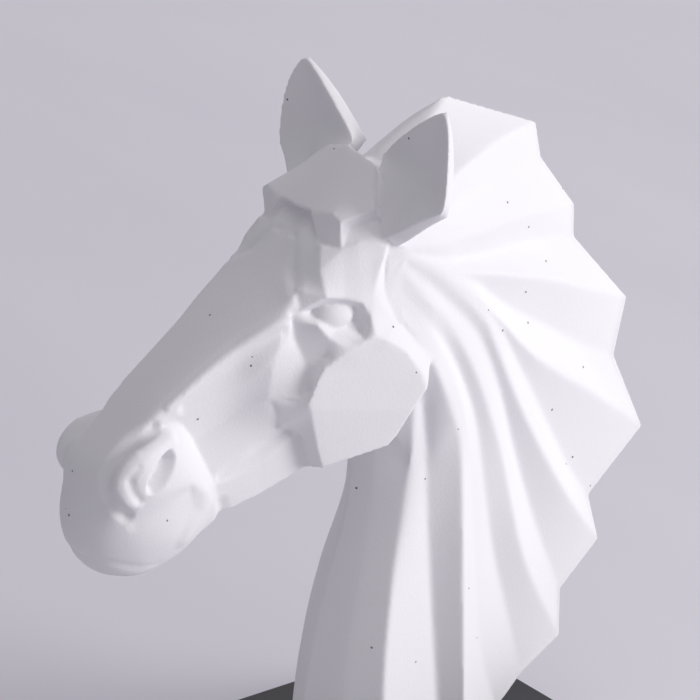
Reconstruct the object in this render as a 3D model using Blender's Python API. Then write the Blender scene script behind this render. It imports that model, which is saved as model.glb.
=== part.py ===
"""Horse-head bust with a pleated mane, standing on a square plinth.

Metres, +Z up. The horse faces -Y, its left side is +X, and the origin is the middle of the
plinth's underside.
"""

import bpy
import bmesh
from mathutils import Vector

# Driving dimensions
PLINTH_WIDTH = 0.140
PLINTH_LENGTH = 0.140
PLINTH_HEIGHT = 0.030
PLINTH_EDGE = 0.0008
SEAT_GAP = 0.0003
BUST_HEIGHT = 0.282

# Half the blunt edge of the mane's crest, and the steps along each of its pleats
CREST_HALF = 0.0007
PLEAT_STEPS = 16
# Points that a soft curve is worked out at between two of its landmarks
CURVE_STEPS = 12
# Halfway between two landmarks
HALF = 0.5
# Places nearer together than this are one, and edges shorter than the other are dropped
SAME_PLACE = 0.00002
SLIVER = 0.00001

# The horse's landmarks are counted in 282nds of its height: side, back and up
SHARE = BUST_HEIGHT / 282
SEAT = Vector((0, 0, PLINTH_HEIGHT + SEAT_GAP))

WHITE = (0.86, 0.85, 0.84, 1)
WHITE_ROUGHNESS = 0.75
BLACK = (0.018, 0.019, 0.024, 1)
BLACK_ROUGHNESS = 0.3


def mark(place):
    """World position of a landmark given as side, back and up."""
    return Vector(place) * SHARE + SEAT


def clear_scene():
    for item in list(bpy.data.objects):
        bpy.data.objects.remove(item, do_unlink=True)


def plain_material(name, colour, roughness):
    material = bpy.data.materials.new(name)
    material.use_nodes = True
    shader = material.node_tree.nodes["Principled BSDF"]
    shader.inputs["Base Color"].default_value = colour
    shader.inputs["Roughness"].default_value = roughness
    shader.inputs["Metallic"].default_value = 0
    return material


def new_object(name, bm):
    """Turn a bmesh into a linked object with its faces pointing out."""
    bmesh.ops.recalc_face_normals(bm, faces=bm.faces)
    mesh = bpy.data.meshes.new(name)
    bm.to_mesh(mesh)
    bm.free()
    item = bpy.data.objects.new(name, mesh)
    bpy.context.scene.collection.objects.link(item)
    return item


def add_mirror(item):
    mirror = item.modifiers.new("Mirror", "MIRROR")
    mirror.use_axis = (True, False, False)
    mirror.use_clip = True
    mirror.merge_threshold = 0.00005


def add_subdivision(item, levels):
    rounding = item.modifiers.new("Subdivision", "SUBSURF")
    rounding.levels = levels
    rounding.render_levels = levels


def hide_guide(item):
    item.hide_render = True
    item.display_type = "WIRE"


def add_boolean(item, other, operation):
    boolean = item.modifiers.new(other.name, "BOOLEAN")
    boolean.operation = operation
    boolean.solver = "EXACT"
    boolean.object = other
    hide_guide(other)


def cage_object(name, corners, faces, soft_edges=()):
    """Mesh from named corners and faces. Every edge is crisp but the soft ones."""
    bm = bmesh.new()
    crease = bm.edges.layers.float.new("crease_edge")
    verts = {key: bm.verts.new(mark(place)) for key, place in corners.items()}
    for face in faces:
        bm.faces.new([verts[key] for key in face.split()])
    soft = {frozenset(pair.split()) for pair in soft_edges}
    names = {vert: key for key, vert in verts.items()}
    for edge in bm.edges:
        ends = frozenset(names[vert] for vert in edge.verts)
        edge[crease] = 0.0 if ends in soft else 1.0
    return new_object(name, bm)


def smooth_run(points, steps):
    """Points spaced evenly along a soft curve through the given points."""
    marks = [Vector(point) for point in points]
    ends = [marks[0] * 2 - marks[1]] + marks + [marks[-1] * 2 - marks[-2]]
    fine = []
    for before, here, after, beyond in zip(ends, ends[1:], ends[2:], ends[3:]):
        for part in range(CURVE_STEPS):
            t = part / CURVE_STEPS
            fine.append(HALF * (2 * here + (after - before) * t
                               + (2 * before - 5 * here + 4 * after - beyond) * t ** 2
                               + (3 * here - before - 3 * after + beyond) * t ** 3))
    fine.append(marks[-1])
    lengths = [0.0]
    for here, after in zip(fine, fine[1:]):
        lengths.append(lengths[-1] + (after - here).length)
    run = []
    place = 0
    for step in range(steps + 1):
        goal = lengths[-1] * step / steps
        while place < len(fine) - 2 and lengths[place + 1] < goal:
            place += 1
        span = lengths[place + 1] - lengths[place]
        run.append(fine[place].lerp(fine[place + 1], (goal - lengths[place]) / span))
    return run


# The pleats of the mane, from its crest inward to behind the ear. Ridges and valleys alternate.
PLEATS = {
    "front edge": [(0, 13, 270.5), (0, -2, 264), (0, -16, 256.5), (0, -24, 250)],
    "top edge": [(0, 16.5, 270.5), (5, 3, 264), (7, -14, 254), (8, -24, 247)],
    "ridge 1": [(0, 60, 252), (10, 34.5, 251.5), (16, 19, 249), (19.5, 10, 247.5), (24, -5, 241.5),
                (28.5, -25, 226.5)],
    "valley 1": [(0, 63, 237), (6, 44.5, 237), (11.5, 27.5, 235.5), (17.5, 11.5, 235),
                 (23, -4, 232), (28, -24.5, 225.5)],
    "ridge 2": [(0, 80.5, 214), (9, 55.5, 218.5), (15, 37.5, 220.5), (20, 21, 220.5),
                (24, 5.5, 221.5), (27, -9.5, 222.5), (28.5, -25, 225)],
    "valley 2": [(0, 81, 200), (5, 59, 205), (10.5, 41.5, 207.5), (16, 24.5, 209.5),
                 (21.5, 8, 212.5), (25, -2.5, 215), (28, -24, 224)],
    "ridge 3": [(0, 109.5, 168), (7, 84.5, 179.5), (14, 58.5, 191), (20.5, 33.5, 200),
                (26, 8, 208.5), (28, -8, 215.5), (28.5, -24.5, 223.5)],
    "valley 3": [(0, 103.5, 144), (4, 80.5, 156), (9.5, 56, 171.5), (14.5, 39, 182),
                 (20, 21.5, 195), (25, 9, 205), (28, -7.5, 214), (28, -24, 222.5)],
    "ridge 4": [(0, 120, 108.5), (4, 102.5, 122), (9, 84, 136), (17, 50.5, 160),
                (24.5, 22, 187.5), (28, -3, 209.5), (28.5, -24, 222)],
    "valley 4": [(0, 92, 84.5), (3.5, 76, 105), (12.5, 50.5, 145), (17.5, 37, 165),
                 (23.5, 22, 186.5), (28, -2, 207.5), (28.5, -23.5, 221.5)],
    "ridge 5": [(0, 98, 63), (8, 73, 94), (16.5, 46, 134), (23.5, 24.5, 172), (25.5, 16.5, 186.5),
                (28, -2, 205), (28.5, -23.5, 221)],
    "valley 5": [(0, 78, 45.5), (4.5, 59, 85), (11, 43, 121), (19, 27, 158.5), (23.5, 13, 183),
                 (27, -6, 202.5), (28, -23.5, 220)],
    "ridge 6": [(0, 78, 24), (10, 51, 70), (18, 32.5, 121.5), (22, 22, 146.5), (25.5, 10, 170.5),
                (28.5, -6, 194.5), (29.5, -13.5, 201.5), (28.5, -26, 217)],
    "valley 6": [(0, 58.5, 12.5), (8, 37, 72), (14, 27, 105), (19.5, 16.5, 143.5),
                 (23.5, 3, 172), (28.5, -12.5, 193), (28.5, -27, 209.5)],
    "back band": [(0, 45, 0), (13, 26, 40), (18, 18, 95), (24, 9, 146), (27.5, -3.5, 175.5),
                  (29.5, -12, 187), (29, -27.5, 203.5)],
    "ridge 7": [(27, 8, 0), (26, 7.5, 70), (25, 6.5, 130.5), (27, 0, 152.5), (30.5, -12.5, 177.5),
                (30, -25.5, 196.5)],
    "valley 7": [(19, 3, 0), (17, -2, 72), (17.5, -5, 108), (20, -8, 149), (26, -17, 172)],
    "neck turn": [(31, -35, 0), (28, -33, 45), (24, -27, 79), (19, -19, 109), (18, -14, 135)],
    "neck front": [(17, -49, 0), (15, -44, 45), (12.5, -36, 79), (9, -27, 109), (8, -24, 135)],
    "neck middle": [(0, -55, 0), (0, -50.5, 45), (0, -42, 79), (0, -32.5, 109), (0, -29, 135)],
}
# Pleats that run down to the seat
STANDING = ["back band", "ridge 7", "valley 7", "neck turn", "neck front", "neck middle"]
# Where the first and last pleats of the fan meet the temple, and the line inside the head where all end
MEET_TOP = (27.5, -31, 229)
MEET_JAW = (29.5, -36, 198)
TUCK_TOP = (0, -36, 246)
TUCK_TEMPLE = (21, -38, 226)
TUCK_JAW = (22, -40, 190)
TUCK_THROAT = (0, -34, 156)


def inner_ends():
    """For each pleat, the point where it meets the temple and the point inside the head."""
    names = list(PLEATS)
    first = names.index("ridge 1")
    last = names.index("ridge 7")
    ends = []
    for index, points in enumerate(PLEATS.values()):
        reach = Vector(points[-1])
        if index < first:
            tuck = Vector(TUCK_TOP).lerp(Vector(TUCK_TEMPLE), index / first)
            ends.append((reach.lerp(tuck, HALF), tuck))
        elif index <= last:
            part = (index - first) / (last - first)
            meet = Vector(MEET_TOP).lerp(Vector(MEET_JAW), part)
            ends.append((meet, Vector(TUCK_TEMPLE).lerp(Vector(TUCK_JAW), part)))
        else:
            part = (index - last) / (len(names) - 1 - last)
            tuck = Vector(TUCK_JAW).lerp(Vector(TUCK_THROAT), part)
            ends.append((reach.lerp(tuck, HALF), tuck))
    return ends


def neck_and_mane():
    """Near half of the neck and mane, closed on the middle plane, then mirrored."""
    bm = bmesh.new()
    columns = []
    for (name, points), (meet, tuck) in zip(PLEATS.items(), inner_ends()):
        column = [mark(point) for point in smooth_run(points, PLEAT_STEPS)]
        crest = column[0].copy()
        if name not in STANDING[1:]:
            crest.x = 0
            if name != "front edge":
                column[0].x = max(column[0].x, CREST_HALF)
        middle = Vector((0, tuck.y, tuck.z))
        column = [crest] + column + [mark(meet), mark(tuck), mark(middle)]
        columns.append([bm.verts.new(place) for place in column])
    for left, right in zip(columns, columns[1:]):
        for row in range(len(left) - 1):
            bm.faces.new((left[row], left[row + 1], right[row + 1], right[row]))
    seat = [column[0] for name, column in zip(PLEATS, columns) if name in STANDING]
    bm.faces.new(seat)
    bmesh.ops.remove_doubles(bm, verts=bm.verts, dist=SAME_PLACE)
    bmesh.ops.dissolve_degenerate(bm, edges=bm.edges, dist=SLIVER)
    item = new_object("neck_and_mane", bm)
    add_mirror(item)
    return item


# Corners of the head's left half
HEAD = {
    # Middle line, from the hollow under the forelock down the nose, round the lips and back
    "n0": (0, -50, 237), "n1": (0, -60, 230), "n2": (0, -68, 225), "n3": (0, -73, 221.5),
    "n4": (0, -79, 218), "n5": (0, -98, 206), "n6": (0, -114, 195), "n7": (0, -129.5, 183),
    "n8": (0, -138.5, 175), "n9": (0, -146, 168), "n10": (0, -154.5, 160), "n11": (0, -158.5, 147),
    "n12": (0, -160.5, 133), "n13": (0, -154.5, 120), "n14": (0, -147, 113), "n15": (0, -136, 112),
    "n16": (0, -121, 113.5), "n17": (0, -108, 121), "n18": (0, -98.5, 131), "n19": (0, -82, 137),
    "n20": (0, -62, 145), "n21": (0, -35, 149), "n22": (0, -14, 165), "n23": (0, -14, 230),
    "n24": (0, -17, 253), "n25": (0, -33, 254),
    # Crease beside the forehead, brow ridge and the crest beside the nose
    "k1": (8, -61.4, 231), "k2": (14.5, -66.3, 221.8), "k3": (22, -70.2, 217),
    "u1": (10, -52.5, 238), "d1": (15, -56, 232), "u6": (18, -50.5, 231.5), "d0": (20, -58, 231),
    "w1": (24.5, -61.2, 223.4), "w2": (29.6, -61.6, 214.5),
    "ei": (24.2, -70.6, 209.1), "c0": (25, -75.2, 211), "c1": (20, -94, 200), "c2": (18, -110.5, 189.5),
    "c3": (16, -127, 179), "c4": (14.5, -137, 171.5), "c5": (14, -144.5, 166),
    # Front of the muzzle
    "f1": (13, -152, 160), "f2": (13, -154, 146), "f3": (12.5, -156.5, 132),
    "f4": (11.5, -150, 120), "f5": (11, -141.5, 115), "b1": (11, -133.5, 113.5),
    "b2": (11.5, -121, 115.5), "b3": (11.5, -109.5, 122.5), "j1": (13, -98.5, 131),
    # Nostril's rim and the side of the muzzle
    "g1": (20, -151, 160), "g2": (18, -149.5, 145.5), "g3": (18.5, -146, 131),
    "g4": (15.5, -138, 121), "g5": (14, -133, 116.5), "r1": (15, -142, 167), "r2": (15.5, -131, 172),
    "s4": (13, -116.5, 174), "ra": (20.5, -144, 168), "rc": (20.5, -133.5, 169.5),
    "rd": (26, -138.5, 159.5), "rg": (22.5, -143.5, 150.5), "rf": (24.5, -130, 152),
    "h1": (15, -119.5, 172), "h2": (19.5, -119.5, 163.5), "h3": (22, -116, 152), "h4": (19, -108.5, 141),
    "m1": (21.5, -138, 143), "m2": (22, -125, 143), "m3": (19.5, -112.5, 146),
    "p1": (21.5, -139, 132), "p2": (22, -125, 130.5), "p3": (18.5, -112.5, 133),
    "p4": (16.5, -105, 137), "i1": (15.5, -131, 118.5), "i2": (16, -120, 120.5),
    "i3": (15.5, -110.5, 126),
    # Hollow beside the nose, jaw and the step in front of the cheek
    "s0": (20.5, -82, 176), "s1": (12.2, -93.4, 168.4), "s3": (9.7, -108.9, 161.9),
    "t2": (23.5, -77.5, 199.5), "t3": (22.5, -81.5, 187), "a1": (19, -78, 170.5),
    "a2": (19.5, -76.5, 162.5), "a3": (18.5, -67, 157.5), "j4": (17, -83.5, 152.5),
    "j5": (16.5, -103.5, 145),
    "j2": (14, -81.5, 134.5), "j3": (16, -62, 141.5),
    # Eye socket
    "e1": (20.7, -71.5, 204.7), "e2": (21.2, -70.2, 196.9), "e3": (23.5, -67.2, 188.3),
    "e4": (25.8, -66.3, 177.3),
    "e0": (29.8, -68, 179),
    "e5": (30.5, -64.5, 186), "e6": (31.5, -59.5, 189), "e7": (33, -53.5, 192.5), "e8": (34, -47, 195),
    "e9": (34.5, -42.5, 196.5), "v2": (29.8, -53.4, 212.1), "v3": (31.2, -46.5, 209.3),
    "v4": (31.5, -43.5, 205),
    "l1": (27.9, -64.4, 203.4), "l2": (29.1, -60.3, 198), "l3": (27.4, -60.6, 190.2),
    "l4": (29, -45, 197),
    "l5": (26.5, -53.5, 200.5), "l0": (20, -58.5, 206.5), "l6": (24, -47, 204.5),
    # Temple
    "t4": (31, -41.5, 211.5), "t5": (31, -38, 220.5), "t6": (30.5, -34.5, 228),
    "t7": (29, -38, 230.5), "t8": (27, -45.5, 232.5), "t9": (25.5, -51, 230),
    "u2": (22, -42, 239.5), "u3": (12, -33, 250), "u4": (22, -22, 238), "u5": (12, -18, 250),
    # Cheek
    "q1": (23.2, -72, 174), "q2": (28.5, -69.5, 173.5), "q3": (28.5, -68, 170.5), "q4": (25, -63, 152),
    "q5": (23.5, -59.5, 143), "q6": (25.5, -50, 144.5), "q7": (28.5, -32, 147), "q8": (29.5, -29, 150.5),
    "q9": (32.5, -23.5, 161), "x1": (34.5, -17.5, 169), "x2": (30, -12.5, 180), "x3": (35, -21.5, 177),
    "x4": (35, -29.5, 188), "x5": (35, -37.5, 193.5), "x6": (30, -30, 198),
    "y1": (18, -14, 168), "y2": (18, -14, 195), "y3": (18, -22, 222),
}
HEAD_FACES = [
    # Forehead and nose
    "n0 n1 k1 u1", "u1 k1 d1", "k1 k2 w1 d0 d1", "k2 k3 w2 w1", "k3 ei w2",
    "n1 n2 k2 k1", "n2 n3 k3 k2", "n3 n4 c0 k3", "c0 ei k3", "n4 n5 c1 c0", "n5 n6 c2 c1", "n6 n7 c3 c2",
    "n7 n8 c4 c3", "n8 n9 c5 c4", "n9 n10 f1 c5", "n10 n11 f2 f1", "n11 n12 f3 f2",
    "n12 n13 f4 f3", "n13 n14 f5 f4", "n14 n15 b1 f5", "n15 n16 b2 b1", "n16 n17 b3 b2",
    "n17 n18 j1 b3",
    # Muzzle
    "c5 f1 g1 ra r1", "f1 f2 g2 g1", "f2 f3 g3 g2", "f3 f4 g4 g3", "f4 f5 g5 g4", "f5 b1 g5",
    "c3 c4 r2 s4", "c4 c5 r1 r2", "r1 ra rc r2", "r2 rc h2 h1", "r2 h1 s4", "ra g1 rd", "g1 rg rd",
    "g1 g2 rg", "ra rd rc", "rc rd rf h2", "rd rg rf", "rf h3 h2", "g2 m1 rg", "rg m1 m2 rf",
    "rf m2 m3 h3", "h3 m3 h4", "g2 g3 p1 m1", "m1 p1 p2 m2", "m2 p2 p3 m3", "m3 p3 p4 h4",
    "g3 g4 i1 p1", "p1 i1 i2 p2", "p2 i2 i3 p3", "p3 i3 p4", "g4 g5 i1", "g5 b1 b2 i2 i1",
    "b2 b3 i3 i2", "b3 j1 p4 i3", "p4 j1 j5 h4",
    # Side of the nose and the jaw
    "c0 c1 t3 t2", "c1 s1 s0 t3", "c1 c2 s3 s1", "c2 c3 s4 s3", "s4 h1 h2 s3", "s3 h2 h3 j5",
    "j5 h3 h4", "s1 s3 j5 j4", "s0 s1 j4 a3 a2 a1", "j4 j5 j1 j2", "a3 j4 j2 j3", "j1 n18 n19 j2",
    "j2 n19 n20 j3", "c0 e1 ei", "c0 t2 e2 e1", "t2 t3 e3 e2", "t3 s0 e4 e3", "s0 q1 q2 e4",
    "s0 a1 a2 q3 q2 q1", "a2 a3 q4 q3", "a3 j3 q5 q4",
    # Eye
    "ei l0 v2 w2", "l0 l6 v3 v2", "l6 l4 v4 v3", "ei e1 l1 l0", "l0 l1 l5 l6", "l5 l4 l6",
    "l1 l2 l5", "l2 e7 e8 l4 l5", "e1 e2 l2 l1", "e2 e3 l3 l2", "e3 e4 e0 e5 l3", "e4 q2 e0", "l3 e5 e6",
    "l3 e6 e7 l2", "l4 e8 e9 v4",
    # Temple and the top of the head
    "d0 w1 t9", "w1 w2 v2 t9", "v2 v3 t8 t9", "v3 v4 t4 t5 t6 t7 t8", "u1 d1 u6 u2", "d1 d0 t9 u6",
    "u6 t9 u2", "t9 t8 t7 u2", "n0 u1 u2 u3 n25",
    "u2 t7 t6 u4 u3", "u3 u4 u5", "n25 u3 u5 n24",
    # Cheek and the back of the head, which the neck covers
    "e0 q2 q3 q9 x1 x3 x4 x5 e9 e8 e7 e6 e5", "q3 q4 q5 q6 q7 q8 q9", "x1 x2 x3", "x3 x2 x4",
    "x4 x2 x6 x5", "e9 x5 x6", "v4 e9 x6 t4", "t4 x6 y3 t5", "t5 y3 u4 t6", "x6 x2 y2 y3",
    "x2 x1 y1 y2", "x1 q9 q8 y1", "q8 q7 n21 n22 y1", "q7 q6 n20 n21", "q6 q5 j3 n20",
    "y1 n22 n23 y2", "y2 n23 y3", "y3 n23 n24 u5 u4",
]
SOFT_EDGES = [
    "n4 c0", "n5 c1", "n6 c2", "n7 c3", "n8 c4", "n9 c5", "n10 f1", "n11 f2", "n12 f3", "n13 f4",
    "n14 f5", "n15 b1", "n16 b2", "n17 b3", "n9 n10", "n10 n11", "n11 n12", "n12 n13", "n13 n14",
    "n14 n15", "n15 n16", "n16 n17", "n4 n5", "n5 n6", "n6 n7", "n7 n8", "n8 n9", "c4 c5",
    "c5 f1", "f1 f2", "f2 f3", "f3 f4", "f4 f5", "f5 b1", "b1 b2", "b2 b3", "f1 g1", "f2 g2",
    "f3 g3", "f4 g4", "f5 g5", "g1 g2", "g2 g3", "g3 g4", "g4 g5", "c5 r1", "b1 g5", "r1 ra",
    "r2 rc", "ra rc", "ra g1", "ra rd", "g1 rd", "rd rc", "rd rg", "rd rf", "g1 rg", "g2 rg",
    "rg rf", "rf h2", "rc h2", "rf h3", "h2 h3", "h1 h2", "r2 h1", "g2 m1", "rg m1", "rf m2",
    "h3 m3", "h3 h4", "g3 p1", "m1 p1", "m2 p2", "m3 p3", "p1 p2", "p2 p3", "p3 p4", "g4 i1",
    "p1 i1", "p2 i2", "p3 i3", "i1 i2", "i2 i3", "g5 i1", "b2 i2", "b3 i3", "m3 h4", "i3 p4",
    "s3 h2", "h3 j5", "r2 s4", "h1 s4", "m1 m2", "m2 m3", "n1 n2", "n2 n3", "n3 n4", "n2 k2", "n3 k3",
    "c1 t3", "c1 s1", "c2 s3", "s1 j4",
]


def head():
    item = cage_object("head", HEAD, HEAD_FACES, SOFT_EDGES)
    add_mirror(item)
    add_subdivision(item, 2)
    return item


# Corners of the forelock, a raised tab over the brow with one lock on each side
FORELOCK = {
    "tab": (0, -55, 241), "corner": (9, -54.5, 241.5), "joint": (11, -55.5, 240),
    "inner": (16, -56.5, 231), "middle": (20.5, -54.5, 231), "tip": (25, -51.5, 230),
    "outer": (25.5, -52.5, 240.5), "ridge": (21, -53, 243), "side": (23.5, -38, 244),
    "root": (14, -30, 257), "poll": (0, -30, 261), "band": (4, -38, 253.5),
}
# The forelock's outline again, sunk into the head
FORELOCK_BED = {
    "tab": (0, -45.5, 235), "corner": (9, -46.5, 235), "joint": (12, -49, 234.5), "inner": (16, -51, 229),
    "middle": (19, -50, 229), "tip": (23, -47, 228.5), "outer": (23, -46, 237),
    "side": (20, -36, 238), "root": (12, -29, 250), "poll": (0, -29, 252),
}
FORELOCK_FACES = [
    "tab corner band poll", "corner joint ridge", "corner ridge root band", "band root poll",
    "ridge outer side root", "joint inner middle ridge", "ridge middle tip outer",
]


def forelock():
    corners = dict(FORELOCK)
    for key, place in FORELOCK_BED.items():
        corners["low_" + key] = place
    outline = list(FORELOCK_BED)
    walls = [f"{here} {after} low_{after} low_{here}" for here, after in zip(outline, outline[1:])]
    floor = " ".join("low_" + key for key in outline)
    item = cage_object("forelock", corners, FORELOCK_FACES + walls + [floor])
    add_mirror(item)
    return item


# Outline of the left ear's hollow face, and the same outline on its back
EAR_FACE = [
    (8, -21, 257), (21, -21.5, 268), (32, -20.5, 276), (44, -19.5, 281.5), (50, -21.5, 276),
    (52.9, -23.9, 266.5), (53.9, -25.4, 252), (52.5, -26.1, 246), (45, -28.5, 243), (36, -33.5, 236),
    (28, -35, 231), (24, -34, 239), (17, -32, 247),
]
EAR_BACK = [
    (9, -15, 256), (22, -17, 266.5), (33, -17.5, 274.5), (44, -18, 281), (48.5, -18, 275.5),
    (50.5, -18.5, 265.5), (51, -19.5, 250.5), (50, -21, 242.5), (44, -24, 238.5), (35, -29, 230),
    (26, -27, 225), (21, -24, 235), (14, -22, 244),
]
EAR_HOLLOW = (34, -18.5, 257)
EAR_SWELL = (34, -12.5, 253)


def ear(name, side):
    """The left ear where side is 1, and its mirror image where it is -1."""
    def ear_mark(place):
        return mark((side * place[0], place[1], place[2]))

    bm = bmesh.new()
    face = [bm.verts.new(ear_mark(place)) for place in EAR_FACE]
    back = [bm.verts.new(ear_mark(place)) for place in EAR_BACK]
    hollow = bm.verts.new(ear_mark(EAR_HOLLOW))
    swell = bm.verts.new(ear_mark(EAR_SWELL))
    for here in range(len(face)):
        after = (here + 1) % len(face)
        bm.faces.new((face[here], face[after], hollow))
        bm.faces.new((back[here], back[after], swell))
        bm.faces.new((face[here], face[after], back[after], back[here]))
    return new_object(name, bm)


EYE_CENTRE = (22.2, -53.8, 204.5)
EYE_RADII = (6.4, 9.5, 7)
NOSTRIL_CENTRE = (24, -129.5, 159.5)
NOSTRIL_RADII = (6, 4, 7)


def ovals(name, centre, radii):
    """A pair of mirrored ellipsoids."""
    bm = bmesh.new()
    bmesh.ops.create_uvsphere(bm, u_segments=20, v_segments=12, radius=1)
    for vert in bm.verts:
        offset = Vector([radius * along for radius, along in zip(radii, vert.co)])
        vert.co = mark(Vector(centre) + offset)
    item = new_object(name, bm)
    add_mirror(item)
    return item


def horse_bust():
    item = neck_and_mane()
    item.name = "horse_bust"
    for piece in (head(), forelock(), ear("left_ear", 1), ear("right_ear", -1),
                  ovals("eyes", EYE_CENTRE, EYE_RADII)):
        add_boolean(item, piece, "UNION")
    add_boolean(item, ovals("nostrils", NOSTRIL_CENTRE, NOSTRIL_RADII), "DIFFERENCE")
    item.data.materials.append(plain_material("matte_white", WHITE, WHITE_ROUGHNESS))
    return item


def plinth():
    bm = bmesh.new()
    bmesh.ops.create_cube(bm, size=1)
    for vert in bm.verts:
        vert.co.x *= PLINTH_WIDTH
        vert.co.y *= PLINTH_LENGTH
        vert.co.z = (vert.co.z + HALF) * PLINTH_HEIGHT
    item = new_object("plinth", bm)
    edge = item.modifiers.new("Edge", "BEVEL")
    edge.width = PLINTH_EDGE
    edge.segments = 2
    item.data.materials.append(plain_material("satin_black", BLACK, BLACK_ROUGHNESS))
    return item


clear_scene()
plinth()
horse_bust()
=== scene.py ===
import math

import bpy
import bmesh
import numpy as np
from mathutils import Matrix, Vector


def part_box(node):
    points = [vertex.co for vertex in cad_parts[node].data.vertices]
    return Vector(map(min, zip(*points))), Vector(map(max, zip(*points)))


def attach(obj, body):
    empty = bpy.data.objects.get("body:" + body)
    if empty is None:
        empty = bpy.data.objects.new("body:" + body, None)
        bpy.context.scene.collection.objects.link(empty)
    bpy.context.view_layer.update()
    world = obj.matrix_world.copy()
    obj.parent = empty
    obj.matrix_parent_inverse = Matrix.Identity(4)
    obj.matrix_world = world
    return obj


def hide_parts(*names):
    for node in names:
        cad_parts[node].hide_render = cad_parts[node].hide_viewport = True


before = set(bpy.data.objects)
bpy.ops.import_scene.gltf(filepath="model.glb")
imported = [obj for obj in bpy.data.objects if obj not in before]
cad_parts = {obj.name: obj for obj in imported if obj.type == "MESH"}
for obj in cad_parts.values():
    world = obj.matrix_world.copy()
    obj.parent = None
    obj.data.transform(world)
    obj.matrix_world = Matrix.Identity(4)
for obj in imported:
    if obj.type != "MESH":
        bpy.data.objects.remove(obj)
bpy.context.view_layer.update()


# The horse bust
# One matte white casting from the seat to the ear tips. The facets of the head meet in edges about
# a millimetre round, and the neck and the mane's pleats roll more softly into each other. Its landmarks
# are side, back and up from the middle of the seat, and the solid's top is at TALLEST.
TALLEST = 281.5
bust_low, bust_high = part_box("horse_bust")
SHARE = (bust_high.z - bust_low.z) / TALLEST
SEAT = Vector((0, 0, bust_low.z))


def mark(place):
    """World position of a landmark."""
    return Vector(place[:3]) * SHARE + SEAT


# Half the blunt edge of the mane's crest, and the steps along each of its pleats
CREST_HALF = 0.0010
PLEAT_STEPS = 90
# Parts of each stretch between two points of a soft curve
CURVE_STEPS = 24
# The middle of a stretch, and the shares of a curve's formula
HALF = 0.5
# Points nearer than this become one, and edges shorter than this go
SAME_PLACE = 0.00002
SLIVER = 0.00001
# Points this near the middle plane meet their mirror images
MIDDLE_MERGE = 0.00005


def choose(*items):
    """Make these the only selected objects, the first one active."""
    bpy.ops.object.select_all(action="DESELECT")
    for item in items:
        item.select_set(True)
    bpy.context.view_layer.objects.active = items[0]


def apply_modifier(item, kind, **settings):
    choose(item)
    bpy.ops.object.modifier_add(type=kind)
    modifier = item.modifiers[-1]
    for name, value in settings.items():
        setattr(modifier, name, value)
    bpy.ops.object.modifier_apply(modifier=modifier.name)


def new_object(name, bm):
    """Turn a bmesh into a linked object with its faces pointing out."""
    bmesh.ops.recalc_face_normals(bm, faces=bm.faces)
    mesh = bpy.data.meshes.new(name)
    bm.to_mesh(mesh)
    bm.free()
    item = bpy.data.objects.new(name, mesh)
    bpy.context.scene.collection.objects.link(item)
    return item


def mirror(item):
    """Add the other side's half across the middle plane."""
    apply_modifier(item, "MIRROR", use_clip=True, merge_threshold=MIDDLE_MERGE)


def smooth_run(points, steps):
    """Points spaced evenly along a soft curve through the given points."""
    marks = [Vector(point) for point in points]
    ends = [marks[0] * 2 - marks[1]] + marks + [marks[-1] * 2 - marks[-2]]
    fine = []
    for before, here, after, beyond in zip(ends, ends[1:], ends[2:], ends[3:]):
        for part in range(CURVE_STEPS):
            t = part / CURVE_STEPS
            fine.append(HALF * (2 * here + (after - before) * t
                               + (2 * before - 5 * here + 4 * after - beyond) * t ** 2
                               + (3 * here - before - 3 * after + beyond) * t ** 3))
    fine.append(marks[-1])
    lengths = [0.0]
    for here, after in zip(fine, fine[1:]):
        lengths.append(lengths[-1] + (after - here).length)
    run = []
    place = 0
    for step in range(steps + 1):
        goal = lengths[-1] * step / steps
        while place < len(fine) - 2 and lengths[place + 1] < goal:
            place += 1
        span = lengths[place + 1] - lengths[place]
        run.append(fine[place].lerp(fine[place + 1], (goal - lengths[place]) / span))
    return run


class Socket:
    """An output socket that adds, multiplies and compares as nodes do."""

    def __init__(self, tree, socket):
        self.tree = tree
        self.socket = socket

    def node(self, kind, inputs=(), output=0, **settings):
        """A node fed from inputs. Each input is a value, or another Socket."""
        made = self.tree.nodes.new(kind)
        for name, value in settings.items():
            setattr(made, name, value)
        for key, value in dict(inputs).items():
            if isinstance(value, Socket):
                self.tree.links.new(value.socket, made.inputs[key])
            else:
                made.inputs[key].default_value = value
        return Socket(self.tree, made.outputs[output])

    def twin(self, name):
        """Another output of the same node."""
        return Socket(self.tree, self.socket.node.outputs[name])

    def maths(self, operation, other):
        return self.node("ShaderNodeMath", {0: self, 1: other}, operation=operation)

    def __add__(self, other):
        return self.maths("ADD", other)

    def __sub__(self, other):
        return self.maths("SUBTRACT", other)

    def __mul__(self, other):
        return self.maths("MULTIPLY", other)

    def __lt__(self, other):
        return self.maths("LESS_THAN", other)


def new_material(name):
    """A material, its Principled shader and a Socket of object coordinates."""
    material = bpy.data.materials.new(name)
    material.use_nodes = True
    tree = material.node_tree
    coordinates = tree.nodes.new("ShaderNodeTexCoord")
    return material, tree.nodes["Principled BSDF"], Socket(tree, coordinates.outputs["Object"])


def feed(shader, name, socket):
    """Link a Socket to one of the shader's inputs."""
    socket.tree.links.new(socket.socket, shader.inputs[name])


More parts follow.
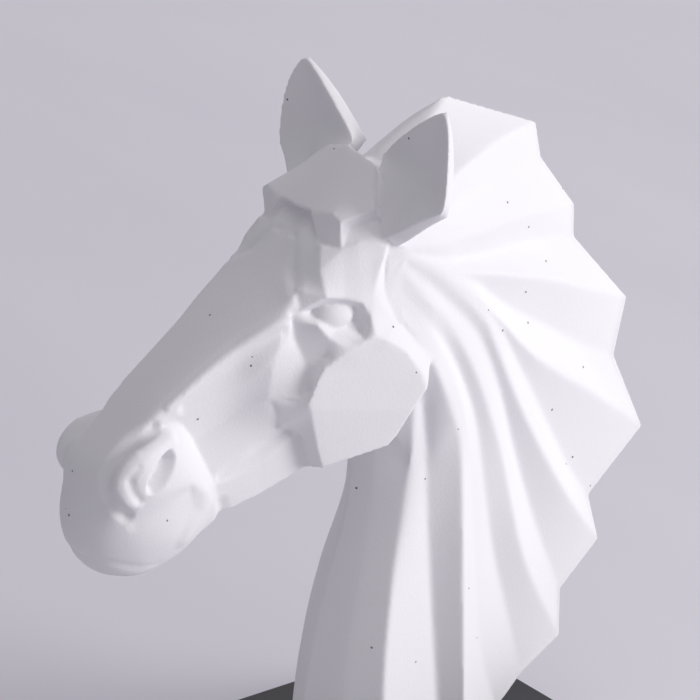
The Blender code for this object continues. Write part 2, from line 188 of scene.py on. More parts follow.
# The pleats of the mane, from its crest inward to behind the ear. Ridges and valleys alternate.
PLEATS = {
    "front edge": [(0, 13, 270.5), (0, -2, 264), (0, -16, 256.5), (0, -24, 250)],
    "top edge": [(0, 16.5, 270.5), (5, 3, 264), (7, -14, 254), (8, -24, 247)],
    "ridge 1": [(0, 60, 252), (10, 34.5, 251.5), (16, 19, 249), (19.5, 10, 247.5), (24, -5, 241.5),
                (28.5, -25, 226.5)],
    "valley 1": [(0, 63, 237), (6, 44.5, 237), (11.5, 27.5, 235.5), (17.5, 11.5, 235),
                 (23, -4, 232), (28, -24.5, 225.5)],
    "ridge 2": [(0, 80.5, 214), (9, 55.5, 218.5), (15, 37.5, 220.5), (20, 21, 220.5),
                (24, 5.5, 221.5), (27, -9.5, 222.5), (28.5, -25, 225)],
    "valley 2": [(0, 81, 200), (5, 59, 205), (10.5, 41.5, 207.5), (16, 24.5, 209.5),
                 (21.5, 8, 212.5), (25, -2.5, 215), (28, -24, 224)],
    "ridge 3": [(0, 109.5, 168), (7, 84.5, 179.5), (14, 58.5, 191), (20.5, 33.5, 200),
                (26, 8, 208.5), (28, -8, 215.5), (28.5, -24.5, 223.5)],
    "valley 3": [(0, 103.5, 144), (4, 80.5, 156), (9.5, 56, 171.5), (14.5, 39, 182),
                 (20, 21.5, 195), (25, 9, 205), (28, -7.5, 214), (28, -24, 222.5)],
    "ridge 4": [(0, 120, 108.5), (4, 102.5, 122), (9, 84, 136), (17, 50.5, 160),
                (24.5, 22, 187.5), (28, -3, 209.5), (28.5, -24, 222)],
    "valley 4": [(0, 92, 84.5), (3.5, 76, 105), (12.5, 50.5, 145), (17.5, 37, 165),
                 (23.5, 22, 186.5), (28, -2, 207.5), (28.5, -23.5, 221.5)],
    "ridge 5": [(0, 98, 63), (8, 73, 94), (16.5, 46, 134), (23.5, 24.5, 172), (25.5, 16.5, 186.5),
                (28, -2, 205), (28.5, -23.5, 221)],
    "valley 5": [(0, 78, 45.5), (4.5, 59, 85), (11, 43, 121), (19, 27, 158.5), (23.5, 13, 183),
                 (27, -6, 202.5), (28, -23.5, 220)],
    "ridge 6": [(0, 78, 24), (10, 51, 70), (18, 32.5, 121.5), (22, 22, 146.5), (25.5, 10, 170.5),
                (28.5, -6, 194.5), (29.5, -13.5, 201.5), (28.5, -26, 217)],
    "valley 6": [(0, 58.5, 12.5), (8, 37, 72), (14, 27, 105), (19.5, 16.5, 143.5),
                 (23.5, 3, 172), (28.5, -12.5, 193), (28.5, -27, 209.5)],
    "back band": [(0, 45, 0), (13, 26, 40), (18, 18, 95), (24, 9, 146), (27.5, -3.5, 175.5),
                  (29.5, -12, 187), (29, -27.5, 203.5)],
    "ridge 7": [(27, 8, 0), (26, 7.5, 70), (25, 6.5, 130.5), (27, 0, 152.5), (30.5, -12.5, 177.5),
                (30, -25.5, 196.5)],
    "valley 7": [(19, 3, 0), (17, -2, 72), (17.5, -5, 108), (20, -8, 149), (26, -17, 172)],
    "neck turn": [(31, -35, 0), (28, -33, 45), (24, -27, 79), (19, -19, 109), (18, -14, 135)],
    "neck front": [(17, -49, 0), (15, -44, 45), (12.5, -36, 79), (9, -27, 109), (8, -24, 135)],
    "neck middle": [(0, -55, 0), (0, -50.5, 45), (0, -42, 79), (0, -32.5, 109), (0, -29, 135)],
}
# Pleats that run down to the seat
STANDING = ["back band", "ridge 7", "valley 7", "neck turn", "neck front", "neck middle"]
# Where the first and last pleats of the fan meet the temple, and the line inside the head where all end
MEET_TOP = (27.5, -31, 229)
MEET_JAW = (29.5, -36, 198)
TUCK_TOP = (0, -36, 246)
TUCK_TEMPLE = (21, -38, 226)
TUCK_JAW = (22, -40, 190)
TUCK_THROAT = (0, -34, 156)


def inner_ends():
    """For each pleat, the point where it meets the temple and the point inside the head."""
    names = list(PLEATS)
    first = names.index("ridge 1")
    last = names.index("ridge 7")
    ends = []
    for index, points in enumerate(PLEATS.values()):
        reach = Vector(points[-1])
        if index < first:
            tuck = Vector(TUCK_TOP).lerp(Vector(TUCK_TEMPLE), index / first)
            ends.append((reach.lerp(tuck, HALF), tuck))
        elif index <= last:
            part = (index - first) / (last - first)
            meet = Vector(MEET_TOP).lerp(Vector(MEET_JAW), part)
            ends.append((meet, Vector(TUCK_TEMPLE).lerp(Vector(TUCK_JAW), part)))
        else:
            part = (index - last) / (len(names) - 1 - last)
            tuck = Vector(TUCK_JAW).lerp(Vector(TUCK_THROAT), part)
            ends.append((reach.lerp(tuck, HALF), tuck))
    return ends


def neck_and_mane():
    """Near half of the neck and mane, closed on the middle plane, then mirrored."""
    bm = bmesh.new()
    columns = []
    for (name, points), (meet, tuck) in zip(PLEATS.items(), inner_ends()):
        column = [mark(point) for point in smooth_run(points, PLEAT_STEPS)]
        crest = column[0].copy()
        if name not in STANDING[1:]:
            crest.x = 0
            if name != "front edge":
                column[0].x = max(column[0].x, CREST_HALF)
        middle = Vector((0, tuck.y, tuck.z))
        column = [crest] + column + [mark(meet), mark(tuck), mark(middle)]
        columns.append([bm.verts.new(place) for place in column])
    for left, right in zip(columns, columns[1:]):
        for row in range(len(left) - 1):
            bm.faces.new((left[row], left[row + 1], right[row + 1], right[row]))
    seat = [column[0] for name, column in zip(PLEATS, columns) if name in STANDING]
    bm.faces.new(seat)
    bmesh.ops.remove_doubles(bm, verts=bm.verts, dist=SAME_PLACE)
    bmesh.ops.dissolve_degenerate(bm, edges=bm.edges, dist=SLIVER)
    item = new_object("neck_and_mane", bm)
    mirror(item)
    return item


# How sharp a half-round edge and an ear's rim stay as the cage is rounded, where 1 is a crisp edge
HALF_ROUND = 0.42
RIM = 0.9


def cage_object(name, corners, faces, soft_edges=(), rounded_edges=(), pinned=(), levels=0):
    """Mesh from named corners and faces, mirrored and rounded off along its soft edges."""
    bm = bmesh.new()
    crease = bm.edges.layers.float.new("crease_edge")
    held = bm.verts.layers.float.new("crease_vert")
    verts = {key: bm.verts.new(mark(place)) for key, place in corners.items()}
    for key in pinned:
        verts[key][held] = 1
    for face in faces:
        bm.faces.new([verts[key] for key in face.split()])
    soft = {frozenset(pair.split()) for pair in soft_edges}
    rounded = {frozenset(pair.split()) for pair in rounded_edges}
    names = {vert: key for key, vert in verts.items()}
    for edge in bm.edges:
        ends = frozenset(names[vert] for vert in edge.verts)
        edge[crease] = 0.0 if ends in soft else HALF_ROUND if ends in rounded else 1.0
    item = new_object(name, bm)
    mirror(item)
    if levels:
        apply_modifier(item, "SUBSURF", levels=levels, render_levels=levels)
    return item


def oval(name, centre, radii):
    """A mirrored pair of ellipsoids."""
    bm = bmesh.new()
    bmesh.ops.create_uvsphere(bm, u_segments=40, v_segments=24, radius=1)
    for vert in bm.verts:
        offset = Vector([radius * along for radius, along in zip(radii, vert.co)])
        vert.co = mark(Vector(centre) + offset)
    item = new_object(name, bm)
    mirror(item)
    return item


def landmarks_of(item):
    """The side, back and up of every vertex, with both sides counted as one."""
    places = np.empty(len(item.data.vertices) * 3, dtype=np.float32)
    item.data.vertices.foreach_get("co", places)
    places = (places.reshape(-1, 3) - np.array(SEAT)) / SHARE
    places[:, 0] = np.abs(places[:, 0])
    return places


def nearness(places, path, steps=32):
    """How near each place is to a soft path, 1 on it and 0 from its half width outward."""
    near = np.zeros(len(places))
    for here, after in zip(smooth_run(path, steps), smooth_run(path, steps)[1:]):
        start = np.array(here)
        along = np.array(after) - start
        widest = max(here[3], after[3])
        low = np.minimum(start, start + along)[:3] - widest
        high = np.maximum(start, start + along)[:3] + widest
        inside = np.flatnonzero(np.all((places > low) & (places < high), axis=1))
        offset = places[inside] - start[:3]
        share = np.clip(offset @ along[:3] / (along[:3] @ along[:3]), 0, 1)
        distance = np.linalg.norm(offset - share[:, None] * along[:3], axis=1)
        width = start[3] + share * along[3]
        near[inside] = np.maximum(near[inside], 1 - distance / width)
    return near


LEAST_WEIGHT = 0.001


def weigh(item, name, weights):
    """Store weights in a vertex group of the given name."""
    group = item.vertex_groups.new(name=name)
    for index in np.flatnonzero(weights > LEAST_WEIGHT):
        group.add([int(index)], float(weights[index]), "REPLACE")


def press(item, name, depth, path, pointed=False):
    """Press the surface in along a soft path, or draw it out where the depth is negative."""
    near = nearness(landmarks_of(item), path)
    weights = near ** 1.5 if pointed else near ** 2 * (3 - 2 * near)
    weigh(item, name, weights)
    apply_modifier(item, "DISPLACE", strength=-depth * SHARE, mid_level=0, vertex_group=name)


# Corners of the head's left half
HEAD = {
    # Middle line, from the hollow under the forelock down the nose, round the lips and back
    "n0": (0, -50, 237), "n1": (0, -60, 230), "n2": (0, -68, 225), "n3": (0, -73, 221.5),
    "n4": (0, -79, 218), "n5": (0, -98, 206), "n6": (0, -114, 195), "n7": (0, -129.5, 183),
    "n8": (0, -138.5, 175), "n9": (0, -146, 168), "n10": (0, -154.5, 160), "n11": (0, -158.5, 147),
    "n12": (0, -160.5, 133), "n13": (0, -154.5, 120), "n14": (0, -147, 113), "n15": (0, -136, 112),
    "n16": (0, -121, 113.5), "n17": (0, -108, 121), "n18": (0, -98.5, 131), "n19": (0, -82, 137),
    "n20": (0, -62, 145), "n21": (0, -35, 149), "n22": (0, -14, 165), "n23": (0, -14, 230),
    "n24": (0, -17, 253), "n25": (0, -33, 254),
    # Crease beside the forehead, brow ridge and the crest beside the nose
    "k1": (8, -61.4, 231), "k2": (14.5, -66.3, 221.8), "k3": (22, -70.2, 217),
    "u1": (10, -52.5, 238), "d1": (15, -56, 232), "u6": (18, -50.5, 231.5), "d0": (20, -58, 231),
    "w1": (24.5, -61.2, 223.4), "w2": (29.6, -61.6, 214.5),
    "ei": (24.2, -70.6, 209.1), "c0": (25, -75.2, 211), "c1": (20, -94, 200), "c2": (18, -110.5, 189.5),
    "c3": (16, -127, 179), "c4": (14.5, -137, 171.5), "c5": (14, -144.5, 166),
    # Front of the muzzle
    "f1": (13, -152, 160), "f2": (13, -154, 146), "f3": (12.5, -156.5, 132),
    "f4": (11.5, -150, 120), "f5": (11, -141.5, 115), "b1": (11, -133.5, 113.5),
    "b2": (11.5, -121, 115.5), "b3": (11.5, -109.5, 122.5), "j1": (13, -98.5, 131),
    # Nostril's rim and the side of the muzzle
    "g1": (20, -151, 160), "g2": (18, -149.5, 145.5), "g3": (18.5, -146, 131),
    "g4": (15.5, -138, 121), "g5": (14, -133, 116.5), "r1": (15, -142, 167), "r2": (15.5, -131, 172),
    "s4": (13, -116.5, 174), "ra": (20.5, -144, 168), "rc": (20.5, -133.5, 169.5),
    "rd": (26, -138.5, 159.5), "rg": (22.5, -143.5, 150.5), "rf": (24.5, -130, 152),
    "h1": (15, -119.5, 172), "h2": (19.5, -119.5, 163.5), "h3": (22, -116, 152), "h4": (19, -108.5, 141),
    "m1": (21.5, -138, 143), "m2": (22, -125, 143), "m3": (19.5, -112.5, 146),
    "p1": (21.5, -139, 132), "p2": (22, -125, 130.5), "p3": (18.5, -112.5, 133),
    "p4": (16.5, -105, 137), "i1": (15.5, -131, 118.5), "i2": (16, -120, 120.5),
    "i3": (15.5, -110.5, 126),
    # Hollow beside the nose, jaw and the step in front of the cheek
    "s0": (20.5, -82, 176), "s1": (12.2, -93.4, 168.4), "s3": (9.7, -108.9, 161.9),
    "t2": (23.5, -77.5, 199.5), "t3": (22.5, -81.5, 187), "a1": (19, -78, 170.5),
    "a2": (19.5, -76.5, 162.5), "a3": (18.5, -67, 157.5), "j4": (17, -83.5, 152.5),
    "j5": (16.5, -103.5, 145),
    "j2": (14, -81.5, 134.5), "j3": (16, -62, 141.5),
    # Eye socket
    "e1": (20.7, -71.5, 204.7), "e2": (21.2, -70.2, 196.9), "e3": (23.5, -67.2, 188.3),
    "e4": (25.8, -66.3, 177.3),
    "e0": (29.8, -68, 179),
    "e5": (30.5, -64.5, 186), "e6": (31.5, -59.5, 189), "e7": (33, -53.5, 192.5), "e8": (34, -47, 195),
    "e9": (34.5, -42.5, 196.5), "v2": (29.8, -53.4, 212.1), "v3": (31.2, -46.5, 209.3),
    "v4": (31.5, -43.5, 205),
    "l1": (27.9, -64.4, 203.4), "l2": (29.1, -60.3, 198), "l3": (27.4, -60.6, 190.2),
    "l4": (29, -45, 197),
    "l5": (26.5, -53.5, 200.5), "l0": (20, -58.5, 206.5), "l6": (24, -47, 204.5),
    # Temple
    "t4": (31, -41.5, 211.5), "t5": (31, -38, 220.5), "t6": (30.5, -34.5, 228),
    "t7": (29, -38, 230.5), "t8": (27, -45.5, 232.5), "t9": (25.5, -51, 230),
    "u2": (22, -42, 239.5), "u3": (12, -33, 250), "u4": (22, -22, 238), "u5": (12, -18, 250),
    # Cheek
    "q1": (23.2, -72, 174), "q2": (28.5, -69.5, 173.5), "q3": (28.5, -68, 170.5), "q4": (25, -63, 152),
    "q5": (23.5, -59.5, 143), "q6": (25.5, -50, 144.5), "q7": (28.5, -32, 147), "q8": (29.5, -29, 150.5),
    "q9": (32.5, -23.5, 161), "x1": (34.5, -17.5, 169), "x2": (30, -12.5, 180), "x3": (35, -21.5, 177),
    "x4": (35, -29.5, 188), "x5": (35, -37.5, 193.5), "x6": (30, -30, 198),
    "y1": (18, -14, 168), "y2": (18, -14, 195), "y3": (18, -22, 222),
}
HEAD_FACES = [
    # Forehead and nose
    "n0 n1 k1 u1", "u1 k1 d1", "k1 k2 w1 d0 d1", "k2 k3 w2 w1", "k3 ei w2",
    "n1 n2 k2 k1", "n2 n3 k3 k2", "n3 n4 c0 k3", "c0 ei k3", "n4 n5 c1 c0", "n5 n6 c2 c1", "n6 n7 c3 c2",
    "n7 n8 c4 c3", "n8 n9 c5 c4", "n9 n10 f1 c5", "n10 n11 f2 f1", "n11 n12 f3 f2",
    "n12 n13 f4 f3", "n13 n14 f5 f4", "n14 n15 b1 f5", "n15 n16 b2 b1", "n16 n17 b3 b2",
    "n17 n18 j1 b3",
    # Muzzle
    "c5 f1 g1 ra r1", "f1 f2 g2 g1", "f2 f3 g3 g2", "f3 f4 g4 g3", "f4 f5 g5 g4", "f5 b1 g5",
    "c3 c4 r2 s4", "c4 c5 r1 r2", "r1 ra rc r2", "r2 rc h2 h1", "r2 h1 s4", "ra g1 rd", "g1 rg rd",
    "g1 g2 rg", "ra rd rc", "rc rd rf h2", "rd rg rf", "rf h3 h2", "g2 m1 rg", "rg m1 m2 rf",
    "rf m2 m3 h3", "h3 m3 h4", "g2 g3 p1 m1", "m1 p1 p2 m2", "m2 p2 p3 m3", "m3 p3 p4 h4",
    "g3 g4 i1 p1", "p1 i1 i2 p2", "p2 i2 i3 p3", "p3 i3 p4", "g4 g5 i1", "g5 b1 b2 i2 i1",
    "b2 b3 i3 i2", "b3 j1 p4 i3", "p4 j1 j5 h4",
    # Side of the nose and the jaw
    "c0 c1 t3 t2", "c1 s1 s0 t3", "c1 c2 s3 s1", "c2 c3 s4 s3", "s4 h1 h2 s3", "s3 h2 h3 j5",
    "j5 h3 h4", "s1 s3 j5 j4", "s0 s1 j4 a3 a2 a1", "j4 j5 j1 j2", "a3 j4 j2 j3", "j1 n18 n19 j2",
    "j2 n19 n20 j3", "c0 e1 ei", "c0 t2 e2 e1", "t2 t3 e3 e2", "t3 s0 e4 e3", "s0 q1 q2 e4",
    "s0 a1 a2 q3 q2 q1", "a2 a3 q4 q3", "a3 j3 q5 q4",
    # Eye
    "ei l0 v2 w2", "l0 l6 v3 v2", "l6 l4 v4 v3", "ei e1 l1 l0", "l0 l1 l5 l6", "l5 l4 l6",
    "l1 l2 l5", "l2 e7 e8 l4 l5", "e1 e2 l2 l1", "e2 e3 l3 l2", "e3 e4 e0 e5 l3", "e4 q2 e0", "l3 e5 e6",
    "l3 e6 e7 l2", "l4 e8 e9 v4",
    # Temple and the top of the head
    "d0 w1 t9", "w1 w2 v2 t9", "v2 v3 t8 t9", "v3 v4 t4 t5 t6 t7 t8", "u1 d1 u6 u2", "d1 d0 t9 u6",
    "u6 t9 u2", "t9 t8 t7 u2", "n0 u1 u2 u3 n25",
    "u2 t7 t6 u4 u3", "u3 u4 u5", "n25 u3 u5 n24",
    # Cheek and the back of the head, which the neck covers
    "e0 q2 q3 q9 x1 x3 x4 x5 e9 e8 e7 e6 e5", "q3 q4 q5 q6 q7 q8 q9", "x1 x2 x3", "x3 x2 x4",
    "x4 x2 x6 x5", "e9 x5 x6", "v4 e9 x6 t4", "t4 x6 y3 t5", "t5 y3 u4 t6", "x6 x2 y2 y3",
    "x2 x1 y1 y2", "x1 q9 q8 y1", "q8 q7 n21 n22 y1", "q7 q6 n20 n21", "q6 q5 j3 n20",
    "y1 n22 n23 y2", "y2 n23 y3", "y3 n23 n24 u5 u4",
]
SOFT_EDGES = [
    "n4 c0", "n5 c1", "n6 c2", "n7 c3", "n8 c4", "n9 c5", "n10 f1", "n11 f2", "n12 f3", "n13 f4",
    "n14 f5", "n15 b1", "n16 b2", "n17 b3", "n9 n10", "n10 n11", "n11 n12", "n12 n13", "n13 n14",
    "n14 n15", "n15 n16", "n16 n17", "n4 n5", "n5 n6", "n6 n7", "n7 n8", "n8 n9", "c4 c5",
    "c5 f1", "f1 f2", "f2 f3", "f3 f4", "f4 f5", "f5 b1", "b1 b2", "b2 b3", "f1 g1", "f2 g2",
    "f3 g3", "f4 g4", "f5 g5", "g1 g2", "g2 g3", "g3 g4", "g4 g5", "c5 r1", "b1 g5", "r1 ra",
    "r2 rc", "ra rc", "ra g1", "ra rd", "g1 rd", "rd rc", "rd rg", "rd rf", "g1 rg", "g2 rg",
    "rg rf", "rf h2", "rc h2", "rf h3", "h2 h3", "h1 h2", "r2 h1", "g2 m1", "rg m1", "rf m2",
    "h3 m3", "h3 h4", "g3 p1", "m1 p1", "m2 p2", "m3 p3", "p1 p2", "p2 p3", "p3 p4", "g4 i1",
    "p1 i1", "p2 i2", "p3 i3", "i1 i2", "i2 i3", "g5 i1", "b2 i2", "b3 i3", "m3 h4", "i3 p4",
    "s3 h2", "h3 j5", "r2 s4", "h1 s4", "m1 m2", "m2 m3", "n1 n2", "n2 n3", "n3 n4", "n2 k2", "n3 k3",
    "c1 t3", "c1 s1", "c2 s3", "s1 j4",
]


# Corners of the forelock, a raised tab over the brow with one lock on each side
FORELOCK = {
    "tab": (0, -55, 241), "corner": (9, -54.5, 241.5), "joint": (11, -55.5, 240),
    "inner": (16, -56.5, 231), "middle": (20.5, -54.5, 231), "tip": (25, -51.5, 230),
    "outer": (25.5, -52.5, 240.5), "ridge": (21, -53, 243), "side": (25.5, -36.5, 243),
    "root": (15.5, -28.5, 256.5), "poll": (0, -30, 261), "band": (4, -38, 253.5),
}
# The forelock's outline again, sunk into the head
FORELOCK_BED = {
    "tab": (0, -45.5, 235), "corner": (9, -46.5, 235), "joint": (12, -49, 234.5), "inner": (16, -51, 229),
    "middle": (19, -50, 229), "tip": (23, -47, 228.5), "outer": (23, -46, 237),
    "side": (23, -33.5, 237), "root": (14, -26.5, 249.5), "poll": (0, -29, 252),
}
FORELOCK_FACES = [
    "tab corner band poll", "corner joint ridge", "corner ridge root band", "band root poll",
    "ridge outer side root", "joint inner middle ridge", "ridge middle tip outer",
]
FORELOCK_SOFT = ["corner band", "root band", "corner root", "ridge root"]


def forelock():
    corners = dict(FORELOCK)
    for key, place in FORELOCK_BED.items():
        corners["low_" + key] = place
    outline = list(FORELOCK_BED)
    walls = [f"{here} {after} low_{after} low_{here}" for here, after in zip(outline, outline[1:])]
    floor = " ".join("low_" + key for key in outline)
    return cage_object("forelock", corners, FORELOCK_FACES + walls + [floor], FORELOCK_SOFT, levels=3)


# Outline of the left ear's hollow face, and the same outline on its back
EAR_FACE = [
    (8, -21, 257), (21, -21.5, 268), (32, -20.5, 276), (44.4, -19.5, 283), (50, -21.5, 276),
    (52.9, -23.9, 266.5), (53.9, -25.4, 252), (52.5, -26.1, 246), (45, -28.5, 243), (36, -33.5, 236),
    (28, -35, 231), (24, -34, 239), (17, -32, 247),
]
EAR_BACK = [
    (9, -13.5, 256), (22, -14, 267), (33, -14.5, 275), (44.4, -17, 283), (48.5, -18, 275.5),
    (50.5, -18.5, 265.5), (51, -19.5, 250.5), (50, -21, 242.5), (44, -24, 238.5), (35, -29, 230),
    (26, -27, 225), (21, -24, 235), (14, -22, 244),
]
EAR_HOLLOW = (34, -18.5, 257)
EAR_SWELL = (34, -12.5, 253)
# Points of both outlines that stay pointed
EAR_CORNERS = [0, 3, 7, 10]


def ears():
    bm = bmesh.new()
    crease = bm.edges.layers.float.new("crease_edge")
    pinned = bm.verts.layers.float.new("crease_vert")
    face = [bm.verts.new(mark(place)) for place in EAR_FACE]
    back = [bm.verts.new(mark(place)) for place in EAR_BACK]
    hollow = bm.verts.new(mark(EAR_HOLLOW))
    swell = bm.verts.new(mark(EAR_SWELL))
    for here in range(len(face)):
        after = (here + 1) % len(face)
        bm.faces.new((face[here], face[after], hollow))
        bm.faces.new((back[here], back[after], swell))
        bm.faces.new((face[here], face[after], back[after], back[here]))
    for outline in (face, back):
        for here, after in zip(outline, outline[1:] + outline[:1]):
            bm.edges.get((here, after))[crease] = RIM
        for corner in EAR_CORNERS:
            outline[corner][pinned] = 1
    item = new_object("ears", bm)
    mirror(item)
    apply_modifier(item, "SUBSURF", levels=3, render_levels=3)
    return item


EYE_CENTRE = (22.2, -53.8, 204.5)
EYE_RADII = (6.4, 9.5, 7)


# Edges of the head that are half round, and corners that stay pointed
HALF_ROUND_EDGES = ["c0 c1", "c1 c2", "c2 c3", "c3 c4", "c0 k3", "ei k3", "c0 ei", "c0 e1"]
POINTED = ["w1", "w2", "e0", "l2"]
GRID = 0.0006
head = cage_object("head", HEAD, HEAD_FACES, SOFT_EDGES, HALF_ROUND_EDGES, POINTED, levels=4)
choose(neck_and_mane(), head, forelock(), ears(), oval("eyes", EYE_CENTRE, EYE_RADII))
bpy.ops.object.join()
bust = bpy.context.object
bust.name = "horse_bust_cast"
apply_modifier(bust, "REMESH", mode="VOXEL", voxel_size=GRID)


def ramp(values, start, end):
    """0 up to the start and 1 from the end on, evenly between them."""
    return np.clip((values - start) / (end - start), 0, 1)


# The neck and the mane are softest, but keep the thin edge of the crest
FRONT_OF_NECK = -70
CREST_BACK = 10
CREST_KEPT = 0.25
CREST_RISE = 0.15
side, back, up = landmarks_of(bust).T
in_mane = ramp(back, -26, -16)
in_neck = ramp(up, 140, 128) * (back > FRONT_OF_NECK)
near_crest = np.where(back > CREST_BACK, np.clip(CREST_KEPT + CREST_RISE * side, 0, 1), 1)
weigh(bust, "softened", np.maximum(in_mane, in_neck) * near_crest)
apply_modifier(bust, "SMOOTH", factor=1, iterations=20, vertex_group="softened")
# The crest beside the nose is rounded, and the top of the forelock nearly as much
NOSE_CREST = [
    (24, -74.5, 210.5, 5), (20, -94, 200, 6), (18, -110.5, 189.5, 6), (16, -127, 179, 6),
    (14.5, -137, 171.5, 6)]
FORELOCK_SHARE = 0.7
BEHIND_LOCKS = -28
places = landmarks_of(bust)
side, back, up = places.T
on_top = ramp(up, 243, 248) * (back < BEHIND_LOCKS) * ramp(side, 28, 24) * FORELOCK_SHARE
weigh(bust, "rounded", np.maximum(np.clip(2 * nearness(places, NOSE_CREST), 0, 1), on_top))
apply_modifier(bust, "SMOOTH", factor=1, iterations=50, vertex_group="rounded")
# The ears' thin tips keep their height
weigh(bust, "even", ramp(up, 275, 260))
apply_modifier(bust, "SMOOTH", factor=0.5, iterations=3, vertex_group="even")

# The crest beside the nose is a narrow roll with a soft hollow under it
press(bust, "crest roll", -0.8, [
    (23, -75.3, 208, 2.5), (21.3, -85.3, 202.9, 3.4), (19.3, -94.7, 198, 3.6), (17.7, -105.2, 191.8, 3.6),
    (16.4, -115, 185.5, 3.2), (15.5, -122.9, 180.3, 2.6)])
press(bust, "crest hollow", 1.5, [
    (23.4, -76.7, 201.8, 4), (21.3, -86.7, 196.4, 7), (18.6, -95.4, 189.5, 8), (16.7, -105.9, 183.5, 7),
    (15.4, -114.9, 178.6, 4.5)])
# The jaw's long edge stands out of a shallow hollow
press(bust, "jaw hollow", 1.3, [
    (18.6, -71.8, 159, 3), (17.3, -80.7, 155.5, 4.6), (16.8, -88.8, 151.2, 5), (16.8, -96, 148.8, 4.6),
    (17, -101, 147.5, 3)])
# The lips swell past the jaw behind them
press(bust, "lip swell", -0.9, [
    (19.4, -112, 145, 6), (18.7, -110.5, 137.9, 6.5), (18.9, -114.5, 133.1, 6.5), (18.1, -118.7, 127.2, 5)])
press(bust, "jaw start", 0.9, [(14.2, -99.8, 135.5, 4.6), (13.2, -98.6, 131.5, 4.8)])
# The nostrils are drawn out of the muzzle inside a groove, with a rim, a shallow dish and a pit
press(bust, "nostril swell", -1.4, [
    (17.5, -124, 169, 6), (20.5, -136, 166, 8), (19, -147, 160, 7), (20.5, -145, 151, 7)])
press(bust, "nostril groove", 1.9, [
    (14.6, -129, 173.8, 3.6), (14.2, -135, 171, 5.2), (14.2, -141, 167.5, 5.6),
    (15, -147.5, 163, 5.6), (15.8, -150.5, 158.5, 5.6), (16.6, -151, 154.5, 5.6), (18.6, -149, 149.5, 5),
    (20.3, -145, 144, 4)])
press(bust, "nostril rim", -0.5, [
    (20, -140, 167, 3), (19.3, -146.5, 163, 3.2), (19.2, -149, 158.5, 3.2), (19.8, -149, 154.5, 3.2),
    (21.2, -146, 150.5, 3.2), (22.5, -141, 148, 3)])
press(bust, "nostril dish", 1, [
    (22.3, -141, 163.5, 2.4), (22.2, -144.5, 159.5, 3), (22.6, -143.5, 154.5, 3), (22.6, -141, 150.5, 2.4)])
press(bust, "nostril pit", 5.5, [
    (20.8, -125.5, 163.5, 3.2), (22.4, -129, 161, 4.8), (23.8, -133, 157.5, 5), (24.2, -135.5, 155, 3.6)])
# The soft fold from the nostril to the corner of the lips, and the lips' line
press(bust, "mouth fold", 0.8, [
    (21, -141, 140.5, 5), (22, -131.5, 143.5, 6), (22.2, -125.5, 145.5, 6), (21.3, -118, 147.5, 4)])
press(bust, "lip line", 0.35, [
    (0, -157, 126, 3.4), (6, -154.7, 125, 3.4), (13.3, -148, 123.5, 3.4), (15.4, -136.5, 119.5, 3),
    (16, -126, 118.5, 2)])
press(bust, "muzzle waist", 1.4, [(0, -157, 149, 11), (8, -155, 149, 11), (13, -152.5, 148.5, 8)])
# The crease between the nose and the brow
press(bust, "brow crease", 1, [
    (4, -58.8, 231.5, 3), (8, -61.4, 231, 3.6), (14.5, -66.3, 221.8, 3.8), (20, -69.3, 217.3, 3.8),
    (21.8, -69.5, 211, 3)], pointed=True)
apply_modifier(bust, "SMOOTH", factor=0.5, iterations=3, vertex_group="even")
TRIANGLES = 190000
apply_modifier(bust, "DECIMATE", ratio=TRIANGLES / (2 * len(bust.data.polygons)))
choose(bust)
bpy.ops.object.shade_smooth()

CAST_WHITE = (0.83, 0.82, 0.84, 1)
# Painted shade: the dark grey that stands for the shade inside the pinholes
PINHOLE_SHADE_GREY = (0.16, 0.15, 0.16, 1)
GRAIN = 900.0
WAVES = 60.0
WAVES_DEPTH = 0.8
CAST_ROUGHNESS = 0.7
WAVES_DULLNESS = 0.1
PINHOLE_CELLS = 320.0
PINHOLE_SIZE = 0.16
PINHOLE_SHARE = 0.02
PINHOLE_DEPTH = 2.0
material, shader, place = new_material("matte_white_cast")
# Fine grain of the cast, and slow waves where the mould was dabbed
grain = place.node("ShaderNodeTexNoise", {"Vector": place, "Scale": GRAIN, "Detail": 3.0})
waves = place.node("ShaderNodeTexNoise", {"Vector": place, "Scale": WAVES, "Detail": 2.0})
# A few cells of the casting hold a pinhole of a trapped air bubble, dented into the relief, with the shade
# inside each painted into the colour as dark grey
cells = place.node("ShaderNodeTexVoronoi", {"Vector": place, "Scale": PINHOLE_CELLS})
chance = cells.node("ShaderNodeSeparateColor", {"Color": cells.twin("Color")}, output="Red")
pinhole_dents_and_shade = (cells < PINHOLE_SIZE) * (chance < PINHOLE_SHARE)
height = grain + waves * WAVES_DEPTH - pinhole_dents_and_shade * PINHOLE_DEPTH
relief = place.node("ShaderNodeBump", {"Height": height, "Strength": 0.14, "Distance": 0.0006})
feed(shader, "Normal", relief)
# The shade inside the pinholes is painted into the base colour
colour = place.node("ShaderNodeMix", {"Factor": pinhole_dents_and_shade, "A": CAST_WHITE, "B": PINHOLE_SHADE_GREY},
                    data_type="RGBA", output="Result")
feed(shader, "Base Color", colour)
feed(shader, "Roughness", waves * WAVES_DULLNESS + CAST_ROUGHNESS)
bust.data.materials.clear()
bust.data.materials.append(material)
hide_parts("horse_bust")
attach(bust, "root")


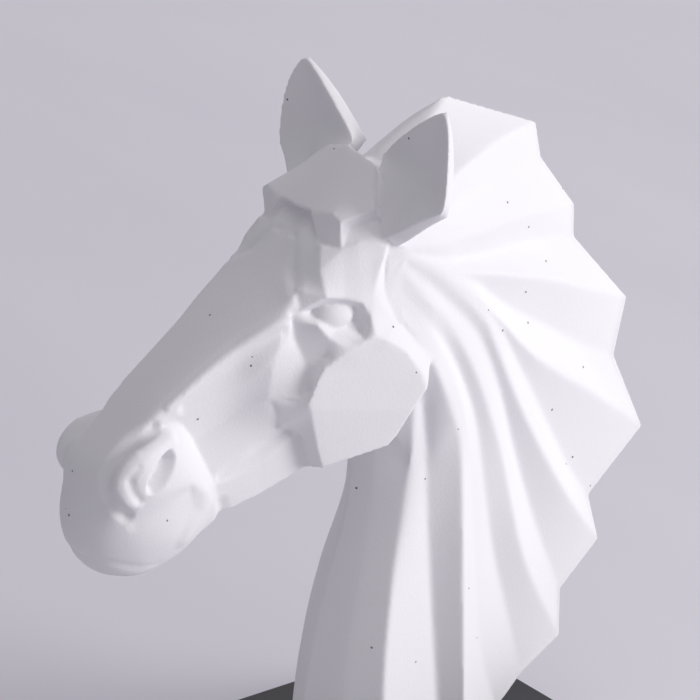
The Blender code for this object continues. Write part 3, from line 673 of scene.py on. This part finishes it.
# The plinth
# A square block of wood in satin black lacquer, with its edges just broken. The bust is glued to
# its top.
PLINTH_EDGE = 0.0012
PEEL = 260.0
CLOUDS = 22.0
SHINIEST = 0.26
CLOUDS_DULLNESS = 0.14
low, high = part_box("plinth")
bpy.ops.object.select_all(action="DESELECT")
bpy.ops.mesh.primitive_cube_add(size=1)
plinth = bpy.context.object
plinth.name = "plinth_block"
bpy.ops.object.mode_set(mode="EDIT")
bpy.ops.mesh.select_all(action="SELECT")
bpy.ops.transform.resize(value=high - low)
bpy.ops.transform.translate(value=(low + high) / 2)
bpy.ops.object.mode_set(mode="OBJECT")
apply_modifier(plinth, "BEVEL", width=PLINTH_EDGE, segments=4)
bpy.ops.object.shade_smooth_by_angle(angle=math.radians(35))
material, shader, place = new_material("satin_black_lacquer")
shader.inputs["Base Color"].default_value = (0.02, 0.022, 0.028, 1)
# The lacquer's faint orange peel, and dull and shiny clouds in it
peel = place.node("ShaderNodeTexNoise", {"Vector": place, "Scale": PEEL, "Detail": 2.0})
clouds = place.node("ShaderNodeTexNoise", {"Vector": place, "Scale": CLOUDS, "Detail": 3.0})
feed(shader, "Normal", place.node("ShaderNodeBump", {"Height": peel, "Strength": 0.05, "Distance": 0.0005}))
feed(shader, "Roughness", clouds * CLOUDS_DULLNESS + SHINIEST)
plinth.data.materials.append(material)
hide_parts("plinth")
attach(plinth, "root")


# The floor
# A pale table top with faint broad streaks, far wider than the photo shows.
FLOOR_PALE = (0.84, 0.82, 0.87, 1)
FLOOR_STREAK = (0.76, 0.74, 0.81, 1)
STREAKS = (1.2, 5.0, 1.0)
bpy.ops.mesh.primitive_plane_add(size=8, location=(0, 0, -0.0002))
floor = bpy.context.object
floor.name = "floor"
material, shader, place = new_material("pale_floor")
stretched = place.node("ShaderNodeVectorMath", {0: place, 1: STREAKS}, operation="MULTIPLY")
streaks = place.node("ShaderNodeTexNoise", {"Vector": stretched, "Scale": 1.6, "Detail": 3.0})
colour = place.node("ShaderNodeMix", {"Factor": streaks, "A": FLOOR_PALE, "B": FLOOR_STREAK},
                    data_type="RGBA", output="Result")
feed(shader, "Base Color", colour)
shader.inputs["Roughness"].default_value = 0.9
floor.data.materials.append(material)


# The camera
TARGET = Vector((0, -0.0295, 0.207))
AZIMUTH = math.radians(54)
ELEVATION = math.radians(21.5)
DISTANCE = 1.346
back = Vector((math.sin(AZIMUTH) * math.cos(ELEVATION),
               -math.cos(AZIMUTH) * math.cos(ELEVATION), math.sin(ELEVATION)))
camera_data = bpy.data.cameras.new("camera")
camera_data.lens = 180
camera_data.sensor_width = 36
camera_data.clip_end = 50
camera = bpy.data.objects.new("camera", camera_data)
bpy.context.scene.collection.objects.link(camera)
camera.location = TARGET + back * DISTANCE
camera.rotation_mode = "QUATERNION"
camera.rotation_quaternion = back.to_track_quat("Z", "Y")
bpy.context.scene.camera = camera


# The light
def soft_box(name, azimuth, elevation, distance, side, power, colour, aim=TARGET):
    """A square area light that faces its aim. Azimuth turns from the horse's left to its back."""
    data = bpy.data.lights.new(name, "AREA")
    data.size = side
    data.energy = power
    data.color = colour
    lamp = bpy.data.objects.new(name, data)
    bpy.context.scene.collection.objects.link(lamp)
    azimuth = math.radians(azimuth)
    elevation = math.radians(elevation)
    direction = Vector((math.cos(azimuth) * math.cos(elevation),
                        math.sin(azimuth) * math.cos(elevation), math.sin(elevation)))
    lamp.location = aim + direction * distance
    lamp.rotation_mode = "QUATERNION"
    lamp.rotation_quaternion = direction.to_track_quat("Z", "Y")


soft_box("key", 44, 14, 1.6, 0.7, 17, (1.0, 0.99, 1.0))
soft_box("top", 0, 62, 1.4, 1.0, 2.6, (1.0, 0.99, 1.0))
# The table behind the bust is lit by itself
soft_box("table", 0, 90, 1.3, 1.6, 7, (1.0, 0.98, 1.0), Vector((-1.25, 0.9, 0)))
world = bpy.data.worlds.new("studio")
bpy.context.scene.world = world
world.use_nodes = True
world.node_tree.nodes["Background"].inputs["Color"].default_value = (0.64, 0.63, 0.68, 1)
world.node_tree.nodes["Background"].inputs["Strength"].default_value = 0.52
bpy.context.scene.view_settings.view_transform = "Standard"
